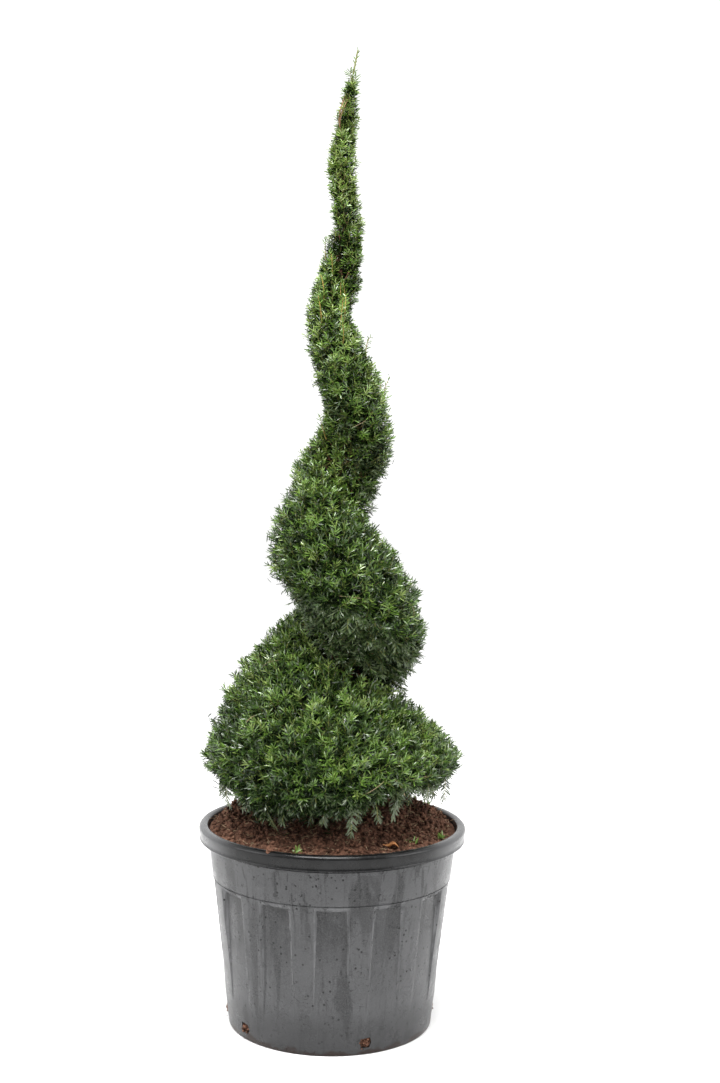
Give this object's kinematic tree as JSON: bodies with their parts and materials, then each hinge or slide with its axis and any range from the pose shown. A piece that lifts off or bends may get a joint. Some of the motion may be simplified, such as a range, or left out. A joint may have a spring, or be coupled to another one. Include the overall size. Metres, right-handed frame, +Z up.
{
  "type": "spiral topiary",
  "caption": "Clipped conifer topiary whose foliage winds in a spiral round one upright trunk, rooted in a round ribbed nursery pot filled with soil.",
  "frame": {"origin": "centre of the pot's flat underside", "axes": "+Z up along the pot's axis and the trunk, -Y towards the front, +X to the right seen from the front"},
  "size_m": [0.6, 0.5983, 2.166],
  "materials": {
    "pot_plastic": "satin",
    "soil": "matte",
    "bark": "matte",
    "foliage": "matte"
  },
  "bodies": {
    "root": {"nursery_pot": "pot_plastic", "soil": "soil", "trunk": "bark", "base_tier_front_left": "foliage", "base_tier_front_right": "foliage", "base_tier_back_right": "foliage", "base_tier_back_left": "foliage", "lower_coil_front_left": "foliage", "lower_coil_front_right": "foliage", "lower_coil_back_right": "foliage", "lower_coil_back_left": "foliage", "middle_coil_front_left": "foliage", "middle_coil_front_right": "foliage", "middle_coil_back_right": "foliage", "middle_coil_back_left": "foliage", "upper_coil_front": "foliage", "upper_coil_back": "foliage", "leader": "foliage"}
  },
  "joints": []
}
